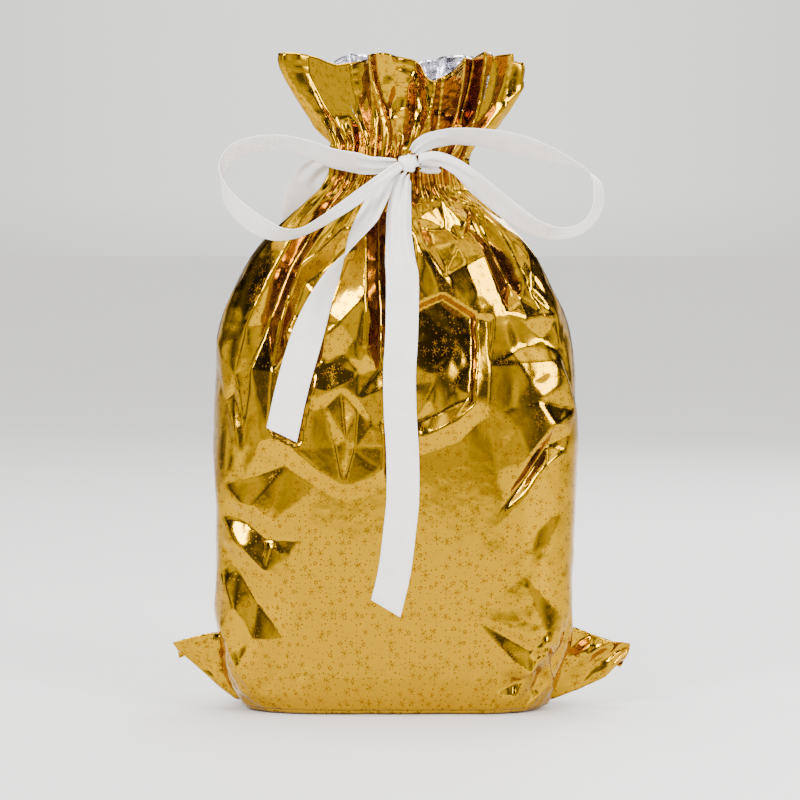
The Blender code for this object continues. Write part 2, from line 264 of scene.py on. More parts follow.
def film_material(name, colour, mark_colour, roughness):
    """Metallised film: a crinkled mirror. With a mark colour it has printed marks that scatter light."""
    n = Nodes(bpy.data.materials.new(name))
    n.shader.inputs["Metallic"].default_value = 1.0
    flat = n.add("ShaderNodeUVMap", uv_map="UVMap").outputs[0]
    soft = n.noise(flat, CRINKLES, 3.0)
    crackle = n.add("ShaderNodeTexVoronoi", voronoi_dimensions="2D", feature="F1")
    crackle.inputs["Scale"].default_value = CRACKS
    n.link(flat, crackle.inputs["Vector"])
    fine = n.noise(flat, GRAINS, 2.0)
    rough = n.between(soft, roughness * 0.7, roughness * 1.5)
    if mark_colour:
        marks = star_pattern(n, flat)
        mix = n.add("ShaderNodeMix", data_type="RGBA")
        n.link(marks, mix.inputs["Factor"])
        mix.inputs["A"].default_value = (*colour, 1.0)
        mix.inputs["B"].default_value = (*mark_colour, 1.0)
        n.link(mix.outputs["Result"], n.shader.inputs["Base Color"])
        rough = n.value("ADD", rough, n.value("MULTIPLY", marks, MARK_ROUGHNESS))
        height = n.value("MULTIPLY", fine, 0.10)
    else:
        tone = n.ramp(soft, [(0.3, tuple(c * 0.85 for c in colour)), (0.7, colour)])
        n.link(tone, n.shader.inputs["Base Color"])
        height = n.value("MULTIPLY", fine, 0.12)
    n.link(rough, n.shader.inputs["Roughness"])
    wide = n.bump(soft, 0.0008, 0.3)
    facets = n.bump(crackle.outputs["Distance"], 0.0003, 0.15, wide)
    n.link(n.bump(height, 0.0001, 0.7, facets), n.shader.inputs["Normal"])
    return n.owner


GOLD = film_material("gold_film", (0.42, 0.225, 0.0), (0.22, 0.095, 0.0), 0.10)
SILVER = film_material("silver_film", (0.80, 0.78, 0.86), None, 0.2)

# threads to a metre, along and across the satin's long floats, and the ribs across them
FLOATS = (2600.0, 260.0, 1.0)
RIBS = 700.0


def satin_material():
    """White satin: a fine weave with long floats and a soft sheen."""
    n = Nodes(bpy.data.materials.new("white_satin"))
    flat = n.add("ShaderNodeUVMap", uv_map="UVMap").outputs[0]
    stretch = n.add("ShaderNodeMapping")
    stretch.inputs["Scale"].default_value = FLOATS
    n.link(flat, stretch.inputs["Vector"])
    floats = n.noise(stretch.outputs[0], 1.0, 3.0)
    ribs = n.add("ShaderNodeTexWave", wave_type="BANDS", bands_direction="Y")
    ribs.inputs["Scale"].default_value = RIBS
    ribs.inputs["Distortion"].default_value = 0.6
    n.link(flat, ribs.inputs["Vector"])
    cloud = n.noise(flat, 90.0, 3.0)
    tone = n.ramp(cloud, [(0.3, (0.84, 0.81, 0.785)), (0.7, (0.93, 0.90, 0.875))])
    n.link(tone, n.shader.inputs["Base Color"])
    n.link(n.between(floats, 0.30, 0.52), n.shader.inputs["Roughness"])
    n.shader.inputs["Sheen Weight"].default_value = 0.35
    n.shader.inputs["Sheen Roughness"].default_value = 0.4
    n.shader.inputs["Specular IOR Level"].default_value = 0.7
    weave = n.value("ADD", floats, n.value("MULTIPLY", ribs.outputs["Fac"], 0.5))
    n.link(n.bump(weave, 0.00006, 0.3, n.bump(cloud, 0.0005, 0.3)), n.shader.inputs["Normal"])
    return n.owner


SATIN = satin_material()


# ---- ribbon

RIBBON_WIDTH = 0.016
RIBBON_THICKNESS = 0.00035
KNOT_LOW, KNOT_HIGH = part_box("knot")
KNOT_CENTRE = (KNOT_LOW + KNOT_HIGH) / 2
KNOT_RADII = (KNOT_HIGH - KNOT_LOW) / 2
KNOT_CLEARANCE = 0.001


def knot_exit(direction):
    """The point just outside the knot in a direction from its centre."""
    d = Vector(direction).normalized()
    reach = 1.0 / math.sqrt(sum((d[k] / KNOT_RADII[k]) ** 2 for k in range(3)))
    return tuple(KNOT_CENTRE[k] + d[k] * (reach + KNOT_CLEARANCE) for k in range(3))


ROUTE_STEPS = 8


def smooth_route(route):
    """Points on the smooth curve through the route's rows, which may hold more than a place."""
    rows = np.array([route[0], *route, route[-1]], float)
    made = []
    for a, b, c, d in zip(rows, rows[1:], rows[2:], rows[3:]):
        for step in range(ROUTE_STEPS):
            t = step / ROUTE_STEPS
            curve = 2 * b + (c - a) * t + (2 * a - 5 * b + 4 * c - d) * t**2 + (3 * b - a - 3 * c + d) * t**3
            made.append(0.5 * curve)
    made.append(rows[-1])
    return np.array(made)


ACROSS = 17
FOLDS = 2.0
CUT_REACH = 0.03
PUCKERS_ACROSS = 2.2
PUCKERS_ALONG = 38.0


def ribbon(name, route, nodes, body, cut=0.0, puckers=0.0, seed=0.0):
    """A satin ribbon along rows of x, y, z, roll and width.

    Where the row's width is under the ribbon's own, the spare cloth stands in folds, as it does near a knot.
    cut slants the free end by that length. puckers is the height of its soft cross waves.
    """
    rows = smooth_route(route)
    places = rows[:, :3]
    ahead = np.vstack([places[1:], places[-1:]])
    behind = np.vstack([places[:1], places[:-1]])
    tangent = ahead - behind
    tangent /= np.linalg.norm(tangent, axis=1)[:, None]
    side = np.stack([-tangent[:, 2], np.zeros(len(rows)), tangent[:, 0]], 1)
    side /= np.linalg.norm(side, axis=1)[:, None]
    turn = np.radians(rows[:, 3])[:, None]
    across = side * np.cos(turn) + np.array([0.0, 1.0, 0.0]) * np.sin(turn)
    across -= tangent * np.sum(across * tangent, axis=1)[:, None]
    across /= np.linalg.norm(across, axis=1)[:, None]
    face = np.cross(tangent, across)
    run = np.concatenate([[0.0], np.cumsum(np.linalg.norm(places[1:] - places[:-1], axis=1))])
    points = []
    uv = []
    for i in range(len(rows)):
        width = rows[i, 4]
        spare = math.sqrt(max(RIBBON_WIDTH**2 - width**2, 0.0))
        fold = spare / (4.0 * FOLDS)
        end = smooth_step(run[-1] - CUT_REACH, run[-1], run[i])
        for j in range(ACROSS):
            t = j / (ACROSS - 1) - 0.5
            lift = fold * math.sin(2 * math.pi * FOLDS * t + seed)
            noise_place = Vector((t * PUCKERS_ACROSS + seed, run[i] * PUCKERS_ALONG, seed * 3.1))
            wave = puckers * blender_noise(noise_place)
            lift += wave * min(1.0, width / RIBBON_WIDTH)
            place = places[i] + across[i] * (width * t) + face[i] * lift
            place = place + tangent[i] * (cut * t * end)
            points.append(place)
            uv.append((t * RIBBON_WIDTH, run[i]))
    made = mesh_object(name, points, grid_faces(len(rows), ACROSS))
    write_uv(made, uv)
    made.data.materials.append(SATIN)
    thick = made.modifiers.new("thickness", "SOLIDIFY")
    thick.thickness = RIBBON_THICKNESS
    thick.offset = 0.0
    edge = made.modifiers.new("edge", "BEVEL")
    edge.width = RIBBON_THICKNESS * 0.3
    edge.segments = 1
    edge.limit_method = "ANGLE"
    edge.angle_limit = math.radians(60)
    apply_modifiers(made)
    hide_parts(*nodes)
    if body:
        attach(made, body)
    return made, places, run[-1]


W = RIBBON_WIDTH
left_loop_route = [
    (*knot_exit((-1.0, 0.0, 0.0)), 20.0, 0.0045),
    (-0.0100, -0.0225, 0.2715, 46.0, 0.012),
    (-0.0183, -0.0225, 0.2724, 53.0, W),
    (-0.0298, -0.0210, 0.2748, 56.0, W),
    (-0.0413, -0.0185, 0.2790, 60.0, W),
    (-0.0528, -0.0155, 0.2818, 62.0, W),
    (-0.0643, -0.0120, 0.2822, 62.0, W),
    (-0.0755, -0.0095, 0.2798, 63.0, W),
    (-0.0828, -0.0090, 0.2748, 70.0, W),
    (-0.0860, -0.0110, 0.2670, 84.0, W),
    (-0.0843, -0.0155, 0.2583, 108.0, W),
    (-0.0783, -0.0205, 0.2506, 121.0, W),
    (-0.0695, -0.0260, 0.2436, 126.0, W),
    (-0.0603, -0.0310, 0.2394, 122.0, W),
    (-0.0519, -0.0340, 0.2380, 110.0, W),
    (-0.0440, -0.0355, 0.2393, 104.0, W),
    (-0.0335, -0.0355, 0.2450, 106.0, W),
    (-0.0220, -0.0330, 0.2526, 110.0, 0.014),
    (-0.0105, -0.0300, 0.2610, 112.0, 0.010),
    (-0.0030, -0.0270, 0.2670, 112.0, 0.006),
    (*knot_exit((-0.75, -0.6, -0.25)), 112.0, 0.0035),
]
right_loop_route = [
    (*knot_exit((0.35, 0.0, 1.0)), -20.0, 0.0045),
    (0.0119, -0.0210, 0.2812, -40.0, 0.008),
    (0.0180, -0.0220, 0.2844, -56.0, 0.013),
    (0.0272, -0.0235, 0.2856, -62.0, W),
    (0.0387, -0.0225, 0.2854, -60.0, W),
    (0.0502, -0.0200, 0.2840, -57.0, W),
    (0.0617, -0.0160, 0.2813, -55.0, W),
    (0.0732, -0.0120, 0.2779, -62.0, W),
    (0.0847, -0.0090, 0.2740, -76.0, W),
    (0.0946, -0.0090, 0.2694, -90.0, W),
    (0.1004, -0.0105, 0.2635, -104.0, W),
    (0.1010, -0.0145, 0.2560, -112.0, W),
    (0.0984, -0.0190, 0.2476, -110.0, W),
    (0.0915, -0.0240, 0.2404, -108.0, W),
    (0.0808, -0.0280, 0.2378, -110.0, W),
    (0.0693, -0.0300, 0.2407, -118.0, W),
    (0.0586, -0.0300, 0.2473, -125.0, W),
    (0.0479, -0.0290, 0.2557, -126.0, W),
    (0.0387, -0.0275, 0.2633, -124.0, W),
    (0.0295, -0.0260, 0.2702, -122.0, 0.013),
    (0.0205, -0.0240, 0.2746, -120.0, 0.008),
    (*knot_exit((0.9, -0.45, 0.35)), -118.0, 0.004),
]
left_tail_route = [
    (*knot_exit((-0.6, 0.15, -0.7)), -10.0, 0.004),
    (-0.0035, -0.0187, 0.2630, -30.0, 0.008),
    (-0.0078, -0.0212, 0.2560, -40.0, 0.012),
    (-0.0124, -0.0249, 0.2471, -49.0, 0.015),
    (-0.0146, -0.0265, 0.2433, -56.0, W),
    (-0.0188, -0.0293, 0.2365, -68.0, W),
    (-0.0224, -0.0315, 0.2298, -84.0, W),
    (-0.0266, -0.0332, 0.2232, -104.0, W),
    (-0.0306, -0.0342, 0.2168, -118.0, W),
    (-0.0358, -0.0348, 0.2065, -134.0, W),
    (-0.0412, -0.0342, 0.1920, -158.0, W),
    (-0.0463, -0.0332, 0.1760, -176.0, W),
    (-0.0508, -0.0332, 0.1595, -180.0, W),
    (-0.0552, -0.0338, 0.1393, -180.0, W),
]
right_tail_route = [
    (*knot_exit((-0.2, -0.1, -1.0)), 0.0, 0.0035),
    (0.0052, -0.0213, 0.2658, 0.0, 0.006),
    (0.0046, -0.0219, 0.2642, 0.0, 0.0074),
    (0.0032, -0.0228, 0.2570, 0.0, 0.010),
    (0.0023, -0.0242, 0.2480, 0.0, 0.012),
    (0.0022, -0.0260, 0.2385, 0.0, 0.0125),
    (0.0030, -0.0286, 0.2240, 0.0, 0.015),
    (0.0040, -0.0300, 0.2150, 0.0, W),
    (0.0036, -0.0330, 0.1880, 0.0, W),
    (0.0026, -0.0346, 0.1700, 0.0, W),
    (0.0029, -0.0354, 0.1500, 0.0, W),
    (0.0040, -0.0358, 0.1320, 0.0, W),
    (0.0042, -0.0360, 0.1095, 0.0, W),
    (0.0027, -0.0360, 0.0930, 0.0, W),
    (0.0000, -0.0359, 0.0720, 0.0, W),
    (-0.0042, -0.0356, 0.0540, 0.0, W),
]
lead_route = [
    (*knot_exit((1.0, 0.35, -0.2)), 0.0, 0.005),
    (0.0170, -0.0154, 0.2710, 0.0, 0.007),
    (0.0225, -0.0134, 0.2706, 0.0, 0.006),
]
rear_route = [
    (-0.0340, 0.0080, 0.2725, 10.0, 0.010),
    (-0.0395, 0.0110, 0.2685, 10.0, 0.014),
    (-0.0450, 0.0135, 0.2615, 0.0, W),
    (-0.0480, 0.0160, 0.2530, 0.0, W),
    (-0.0490, 0.0195, 0.2440, 0.0, W),
    (-0.0480, 0.0240, 0.2345, 0.0, W),
    (-0.0440, 0.0280, 0.2260, 0.0, W),
    (-0.0365, 0.0310, 0.2205, 0.0, W),
    (-0.0270, 0.0315, 0.2215, 0.0, W),
    (-0.0180, 0.0295, 0.2285, 0.0, W),
    (-0.0115, 0.0260, 0.2390, 0.0, W),
    (-0.0075, 0.0220, 0.2505, 0.0, 0.014),
    (-0.0050, 0.0185, 0.2610, 0.0, 0.010),
    (-0.0035, 0.0165, 0.2690, 0.0, 0.008),
]


def bow_strand(name, route, nodes, body, far_end, lay, **shape):
    """A ribbon strand."""
    made, path, length = ribbon(name, route, nodes, body, **shape)
    return made


for name, route, node, body, puckers, seed in (
    ("left_bow_loop", left_loop_route, "left_loop", "left_loop", 0.0006, 0.4),
    ("right_bow_loop", right_loop_route, "right_loop", "right_loop", 0.0006, 1.3),
    ("rear_ribbon_loop", rear_route, "rear_loop", "bag", 0.0005, 2.2),
):
    bow_strand(name, route, [node], body, "object", "loose", puckers=puckers, seed=seed)


def hanging_tail(name, route, side, cut, puckers, seed):
    """A tail in one piece from the knot to its cut end."""
    nodes = [f"{side}_tail_root", f"{side}_tail"]
    made = bow_strand(name, route, nodes, None, "bare", "hanging", cut=cut, puckers=puckers, seed=seed)
    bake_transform(made)


hanging_tail("left_ribbon_tail", left_tail_route, "left", -0.004, 0.0008, 3.0)
hanging_tail("long_ribbon_tail", right_tail_route, "right", 0.005, 0.0011, 4.7)
ribbon("channel_lead", lead_route, ["ribbon_lead"], "bag", seed=5.5)


# shares of the knot's radii, and how many folds of the wrap lie across it
WRAP_FOLDS = 9.0
WRAP_LEAN = 2.6
WRAP_HEIGHT = 0.07
DENT_DEPTH = 0.10
LUMP_HEIGHT = 0.10
END_SQUASH = 0.12


def knot_piece():
    """The knot: a small lump of ribbon drawn tight, with the wrap's folds across it."""
    ball = bmesh.new()
    bmesh.ops.create_uvsphere(ball, u_segments=72, v_segments=48, radius=1.0)
    ball.verts.index_update()
    faces = [[vertex.index for vertex in face.verts] for face in ball.faces]
    points = []
    for vertex in ball.verts:
        p = vertex.co.copy()
        sway = 1.2 * math.sin(3 * math.atan2(p.z, p.x))
        wrap = WRAP_HEIGHT * math.sin(WRAP_FOLDS * p.x + WRAP_LEAN * p.z + sway)
        dent = DENT_DEPTH * math.exp(-((p.x * 0.8 + p.z * 0.5 - 0.35) ** 2) / 0.02)
        lump = LUMP_HEIGHT * blender_noise(p * 1.7)
        p *= (1.0 + wrap + lump - dent) * (1.0 - END_SQUASH * abs(p.z))
        points.append(Vector((p.x * KNOT_RADII.x, p.y * KNOT_RADII.y, p.z * KNOT_RADII.z)) + KNOT_CENTRE)
    ball.free()
    made = mesh_object("bow_knot", points, faces)
    write_uv(made, [(p.x * 0.9 + p.y, p.z) for p in points])
    made.data.materials.append(SATIN)
    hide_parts("knot")
    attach(made, "bag")


knot_piece()


# ---- film

COLUMNS = 400
HALF = COLUMNS // 2
FRILL_LOW = 0.2742
FILM_THICKNESS = 0.0003
FLAT_ROUND = 0.480
ROW_STEP = 0.00128

collar_low, collar_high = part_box("collar_front")


def cad_tree(*nodes):
    """A search tree over the CAD nodes, all in the row frame."""
    points = []
    faces = []
    for name in nodes:
        obj = frame["nodes"][name]
        start = len(points)
        points += [obj.matrix_world @ v.co for v in obj.data.vertices]
        faces += [[start + k for k in p.vertices] for p in obj.data.polygons]
    return BVHTree.FromPolygons(points, faces)


BODY_TREE = cad_tree("front_panel", "back_panel")
COLLAR_TREE = cad_tree("collar_front", "collar_back")
RAYS = 360
OUTSIDE = 0.3


def cad_section(tree, height, middle):
    """The CAD's outline at a height, from rays at even angles that come from outside towards the middle."""
    angles = [math.pi + math.tau * (i + 0.5) / RAYS for i in range(RAYS)]
    points = []
    for angle in angles:
        way = Vector((math.cos(angle), math.sin(angle), 0.0))
        start = Vector((middle, 0.0, height)) + way * OUTSIDE
        hit = tree.ray_cast(start, -way)[0]
        if hit is not None and (hit - start).length < OUTSIDE:
            points.append((hit.x, hit.y))
    return np.array(points)


def even_round(outline, count, smooth=0):
    """The outline resampled at even steps, from the left side seam through the front."""
    for _ in range(smooth):
        outline = (np.roll(outline, 1, 0) + 2 * outline + np.roll(outline, -1, 0)) / 4
    closed = np.vstack([outline, outline[:1]])
    run = np.concatenate([[0.0], np.cumsum(np.linalg.norm(closed[1:] - closed[:-1], axis=1))])
    at = np.arange(count) * run[-1] / count
    return np.stack([np.interp(at, run, closed[:, k]) for k in range(2)], 1)


FILM_LOW = 0.0022
BODY_TOP = 0.2740
COLLAR_START = collar_low.z + 0.001
COLLAR_MIDDLE = 0.004
RIM_LEVEL = collar_high.z - 0.0035
RIM_SECTION = RIM_LEVEL - 0.004


def section_at(height):
    """The film's smooth outline at a height, which goes over from the body to the collar above the tie."""
    if height <= FRILL_LOW:
        return even_round(cad_section(BODY_TREE, height, 0.0), COLUMNS, 3)
    if height < COLLAR_START:
        low = even_round(cad_section(BODY_TREE, BODY_TOP, 0.0), COLUMNS, 3)
        high = even_round(cad_section(COLLAR_TREE, COLLAR_START, COLLAR_MIDDLE), COLUMNS, 12)
        share = (height - BODY_TOP) / (COLLAR_START - BODY_TOP)
        return even_round(low * (1 - share) + high * share, COLUMNS)
    return even_round(cad_section(COLLAR_TREE, min(height, RIM_SECTION), COLLAR_MIDDLE), COLUMNS, 40)


levels = np.arange(FILM_LOW, RIM_LEVEL, ROW_STEP)
base_shape = np.array([section_at(z) for z in levels])
ROWS = len(levels)
around = np.arange(COLUMNS) / COLUMNS

ahead = np.roll(base_shape, -1, 1) - np.roll(base_shape, 1, 1)
outward = np.stack([ahead[..., 1], -ahead[..., 0]], -1)
outward /= np.linalg.norm(outward, axis=-1)[..., None]

# the tie's place among the rows, and the rate at which a full slant is reached from there to the rim
TIE_PLACE = 0.8
SLANT_RATE = 5.0
# how uneven the pleats are, as shares of a mean pleat's width and of a full pleat's height
PLEAT_WIDTHS = (0.35, 1.65)
PLEAT_HEIGHTS = (0.6, 1.0)


def pleat_wave(count, drift, seed):
    """Uneven pleats with flat faces round the bag, from -1 in the valleys to 1 on the ridges, for every row.

    drift slants them, by that share of a pleat from the tie to the rim.
    """
    local = np.random.default_rng(seed)
    widths = local.uniform(*PLEAT_WIDTHS, 2 * count)
    corners = np.cumsum(widths) / widths.sum()
    heights = local.uniform(*PLEAT_HEIGHTS, 2 * count) * np.tile([1.0, -1.0], count)
    slant = drift / count * np.sin(math.tau * 2 * around + seed)
    above_tie = np.linspace(0, 1, ROWS)[:, None] - TIE_PLACE
    return np.interp(around[None, :] + slant[None, :] * above_tie * SLANT_RATE, corners, heights, period=1.0)


def strength(points):
    """A value for each row, eased between heights in metres and values."""
    heights, values = zip(*points)
    return np.interp(levels, heights, values)[:, None]


RIM_PLEATS = (11, 0.5, 8)
FRILL_DEPTH = 0.0082
# how many pleats round the bag, their drift and seed, then heights in metres with the pleats' depths there
PLEATS = [
    ((37, 0.3, 3), [(0.252, 0.0), (0.264, 0.0026), (0.276, 0.0028), (0.284, 0.0016), (0.294, 0.0)]),
    (
        (19, 0.4, 5),
        [(0.236, 0.0), (0.256, 0.0013), (0.272, 0.0026), (0.288, 0.0024), (0.305, 0.0010), (0.33, 0.0004)],
    ),
    (RIM_PLEATS, [(0.222, 0.0), (0.246, 0.0012), (0.260, 0.0022), (0.275, 0.0020), (0.300, FRILL_DEPTH)]),
    (
        (6, 0.6, 11),
        [(0.18, 0.0), (0.23, 0.0012), (0.26, 0.0018), (0.275, 0.0008), (0.30, 0.0024), (0.33, 0.0032)],
    ),
]
fold = np.zeros((ROWS, COLUMNS))
for pleats, depths in PLEATS:
    fold += pleat_wave(*pleats) * strength(depths)

# Above the tie each side seam is a ridge, the ridges stay on the outline and the valleys go in.
deepest = np.abs(fold).max(1, keepdims=True)
SEAM_WIDTH = 0.016
from_seam = np.minimum(around % 0.5, 0.5 - around % 0.5)
seam_ridge = np.exp(-((from_seam / SEAM_WIDTH) ** 2))[None, :] * strength([(0.276, 0.0), (0.290, 0.9)])
fold += (deepest - fold) * seam_ridge
valley_share = strength([(0.276, 0.35), (0.294, 0.85)])

shape = np.empty((ROWS, COLUMNS, 3))
shape[..., :2] = base_shape + outward * (fold - deepest * valley_share)[..., None]
shape[..., 2] = levels[:, None]

# The frill's rim rises and dips, and its front lip has a notch that shows the silver inside.
FRILL_START = 0.285
RIM_WAVE = 0.0022
RIM_RIPPLE = 0.0016
NOTCH_DEPTH = 0.011
NOTCH_PLACE = 0.31
NOTCH_WIDTH = 0.038
rim_share = smooth_step(FRILL_START, RIM_LEVEL, levels)[:, None]
rim = RIM_WAVE * np.sin(math.tau * 5 * around + 0.7) + RIM_RIPPLE * pleat_wave(*RIM_PLEATS)[-1]
notch = NOTCH_DEPTH * np.exp(-(((around - NOTCH_PLACE) / NOTCH_WIDTH) ** 2))
shape[..., 2] += rim_share * (rim - notch)[None, :]


# The creases that the film is folded along, as x, z and how far the film stands out there,
# all in millimetres. The film is flat between them. The back has the same net, turned round.
FOLD_LINES = [
    # left shoulder: a long valley from the tie with a ridge on each side
    [(-24, 263, -1.5), (-34, 251, -4.0), (-53, 220, -5.0)]
    + [(-63, 194, -4.5), (-71, 171, -2.0), (-66, 136, 0.8)],
    [(-19, 262, 0.0), (-28, 250, 1.4), (-46, 222, 2.0), (-55, 196, 2.2), (-60, 170, 1.4), (-62, 143, 1.2)],
    [(-33, 258, 0.0), (-44, 246, 1.2), (-60, 217, 1.8), (-72, 192, 1.4), (-78, 168, 0.8), (-74, 140, 0.0)],
    [(-49, 219, -2.5), (-52, 208, -0.5), (-50, 198, -3.0), (-54, 190, -1.0), (-53, 182, -3.0)],
    [(-62, 143, 1.2), (-58, 138, 2.4), (-50, 133, 2.0)],
    # leaf between the valley and the tails
    [(-46, 222, 2.0), (-38, 228, 2.6), (-24, 241, 2.2), (-18, 250, 0.8)],
    [(-44, 214, -1.2), (-34, 221, -2.0), (-24, 231, -2.0)],
    # vertical ridge and the deep fold beside the long tail
    [(-16, 256, 0.5), (-14, 236, 2.4), (-14, 208, 2.6), (-14, 180, 1.4)],
    [(-7, 258, -3.0), (-8, 240, -6.0), (-8, 215, -6.5), (-7, 190, -4.0), (-7, 172, -1.0)],
    [(0, 250, 0.0), (1, 225, 0.6), (1, 195, 0.6), (1, 165, 0.6)],
    # blister and the dome below it, whose creases meet in a point
    [(-34, 188, 1.6), (-27, 194, 2.2), (-19, 186, 1.0), (-18, 170, 1.8), (-27, 163, 2.6), (-34, 174, 0.6)],
    [(-27, 194, 2.2), (-25, 179, 0.2), (-27, 163, 2.6)],
    [(-40, 152, 0.8), (-33, 160, 2.2), (-27, 163, 2.6), (-18, 157, 2.0), (-11, 145, 1.6), (-5, 133, 1.6)],
    [(-34, 154, 0.6), (-29, 134, 0.2), (-25, 114, 2.0)],
    [(-26, 162, 2.4), (-24, 138, 2.8), (-25, 114, 2.0)],
    [(-18, 152, 0.4), (-20, 132, 0.2), (-25, 114, 2.0)],
    [(-50, 133, 2.0), (-38, 122, 2.4), (-25, 114, 2.0), (-14, 117, 2.4), (-5, 123, 1.8), (-5, 133, 1.6)],
    [(-52, 124, 0.0), (-38, 115, 0.0), (-25, 108, 0.0), (-12, 111, 0.0), (-2, 117, 0.0)],
    # right of the tail: a hollow under the tie, closed below by a long ridge
    [(12, 252, -1.0), (24, 253, -3.5), (38, 250, -1.5)],
    [(13, 240, -3.0), (20, 236, -1.4), (26, 240, -4.0), (33, 235, -2.0), (38, 240, -3.5)],
    [(11, 246, 1.0), (16, 230, 2.6), (24, 217, 3.0), (32, 207, 3.0)]
    + [(40, 198, 2.6), (49, 197, 2.6), (56, 199, 1.8)],
    [(38, 252, 0.0), (48, 233, -4.0), (58, 213, -4.0), (63, 205, -0.5)],
    [(36, 244, 1.8), (44, 228, 2.6), (50, 213, 2.6), (56, 199, 1.8)],
    [(44, 252, 0.0), (56, 232, 2.0), (64, 214, 2.2), (72, 200, 1.0)],
    # the hollow patch beside the tail, leaning back between two ridges
    [(12, 203, 1.0), (18, 206, 2.2), (24, 208, 2.4), (33, 202, 2.4), (40, 198, 2.6)],
    [(12, 201, -5.6), (24, 206, -6.0), (38.4, 197, -4.6)],
    [(38.4, 197, -4.6), (39, 176, -2.4), (37, 157, -0.4)],
    [(40, 198, 2.6), (40.4, 176, 2.4), (39, 154, 3.2)],
    [(12, 146, -0.2), (24, 151, -0.4), (37, 157, -0.4)],
    [(39, 154, 3.2), (30, 146, 3.0), (20, 141, 2.6), (10, 137, 1.8)],
    [(46, 196, 0.4), (47, 174, 0.2), (46, 150, 0.0), (32, 137, 0.0), (12, 130, 0.0)],
    # small diamond on the right shoulder
    [(66, 196, 0.4), (73, 198, 2.0), (80, 197, 0.4)],
    [(68, 208, 0.2), (73, 198, 2.0), (74, 186, -1.8), (79, 175, 0.4)],
    [(66, 196, 0.4), (70, 189, -1.4), (74, 186, -1.8), (80, 197, 0.4)],
    # right side band and the diagonal folds below it
    [(82, 179, -1.0), (84, 166, 1.2), (83, 152, -1.0)],
    [(89, 150, 0.0), (78, 144, 2.2), (66, 128, 2.2), (54, 108, 0.0)],
    [(86, 140, 0.0), (76, 134, -2.4), (65, 118, -2.0), (52, 100, 0.0)],
    [(84, 131, 0.0), (74, 124, 1.8), (64, 110, 1.2), (50, 94, 0.0)],
    [(70, 156, 0.0), (60, 143, 1.0), (50, 122, 0.0)],
    # left side: long upright bands, then drag folds that come off the edge
    [(-86, 206, 0.0), (-85, 180, 1.4), (-84, 155, -0.8), (-80, 130, 0.0)],
    [(-79, 160, -1.2), (-78, 142, 1.0), (-74, 116, 0.0)],
    [(-84, 114, 0.0), (-72, 104, 1.8), (-60, 96, 1.2), (-46, 88, 0.0)],
    [(-85, 106, 0.0), (-74, 96, -2.0), (-64, 88, -1.6), (-52, 80, 0.0)],
    [(-86, 98, 0.0), (-76, 84, 1.6), (-64, 72, 1.4), (-48, 60, 0.0)],
    [(-86, 86, 0.0), (-78, 72, -2.0), (-68, 56, -1.8), (-54, 38, 0.0)],
    [(-86, 70, 0.0), (-79, 54, 1.6), (-70, 38, 1.2), (-58, 20, 0.0)],
    # base corners
    [(84, 48, 0.0), (76, 36, 2.0), (66, 20, 2.2), (58, 5, 0.0)],
    [(86, 34, 0.0), (78, 24, -3.6), (70, 12, -3.8), (64, 3, 0.0)],
    [(72, 30, 0.0), (62, 24, 1.6), (52, 22, 0.4)],
    [(70, 22, 0.0), (60, 16, -3.6), (50, 12, 0.0)],
    [(-86, 36, 0.0), (-78, 22, 1.4), (-70, 6, 0.0)],
    [(-82, 30, 0.0), (-76, 16, -1.8), (-68, 3, 0.0)],
]
FOLD_DEPTH = 1.3
NET_EDGE = [(-120, -10), (120, -10), (120, 300), (-120, 300)]
# places on the lower front where the film lies on the bag's own shape
CALM = [(-60, 85), (-30, 80), (0, 90), (30, 84), (-30, 40), (10, 45), (38, 50), (64, 70)]


def fold_net():
    """A search tree of the flat pieces between the creases, lying in x and z with the height up."""
    places = [(*place, 0.0) for place in NET_EDGE + CALM]
    edges = []
    for line in FOLD_LINES:
        edges += [(len(places) + k, len(places) + k + 1) for k in range(len(line) - 1)]
        places += line
    flat_places = [Vector(p[:2]) for p in places]
    points, _, faces, source, _, _ = delaunay_2d_cdt(flat_places, edges, [], 0, 1e-4)
    heights = []
    for point, origin in zip(points, source):
        if origin:
            heights.append(places[origin[0]][2])
            continue
        nearest = (1e9, 0.0)
        for a, b in edges:
            start, end = flat_places[a], flat_places[b]
            along = end - start
            t = min(max((point - start).dot(along) / along.length_squared, 0.0), 1.0)
            height = places[a][2] * (1 - t) + places[b][2] * t
            nearest = min(nearest, ((start + along * t - point).length, height))
        heights.append(nearest[1])
    corners = [Vector((p.x, p.y, h)) for p, h in zip(points, heights)]
    return BVHTree.FromPolygons(corners, faces)


DOWN = Vector((0.0, 0.0, -1.0))
ABOVE_NET = 50.0


def height_of(tree, x, y):
    """The height of a net of flat pieces over a place, and 0 beside it."""
    hit = tree.ray_cast(Vector((x, y, ABOVE_NET)), DOWN)[0]
    return 0.0 if hit is None else hit.z


NET = fold_net()
folded = np.zeros((ROWS, COLUMNS))
for r in range(ROWS):
    for c in range(COLUMNS):
        x, y = shape[r, c, :2]
        across = x if y < 0 else -x
        folded[r, c] = height_of(NET, across / MM, levels[r] / MM) * MM * FOLD_DEPTH
# the creases end at the side seams and under the tie
SEAM_REACH = 0.012
facing = smooth_step(0.0, SEAM_REACH, np.abs(shape[..., 1]))
folded *= facing * (1.0 - smooth_step(0.262, 0.270, levels)[:, None])
shape[..., :2] += outward * folded[..., None]

flat_x = around * FLAT_ROUND
flat_z = np.concatenate([[0.0], np.cumsum(np.full(ROWS - 1, ROW_STEP))])


FACET_JITTER = 0.36
FACET_MARGIN = 2


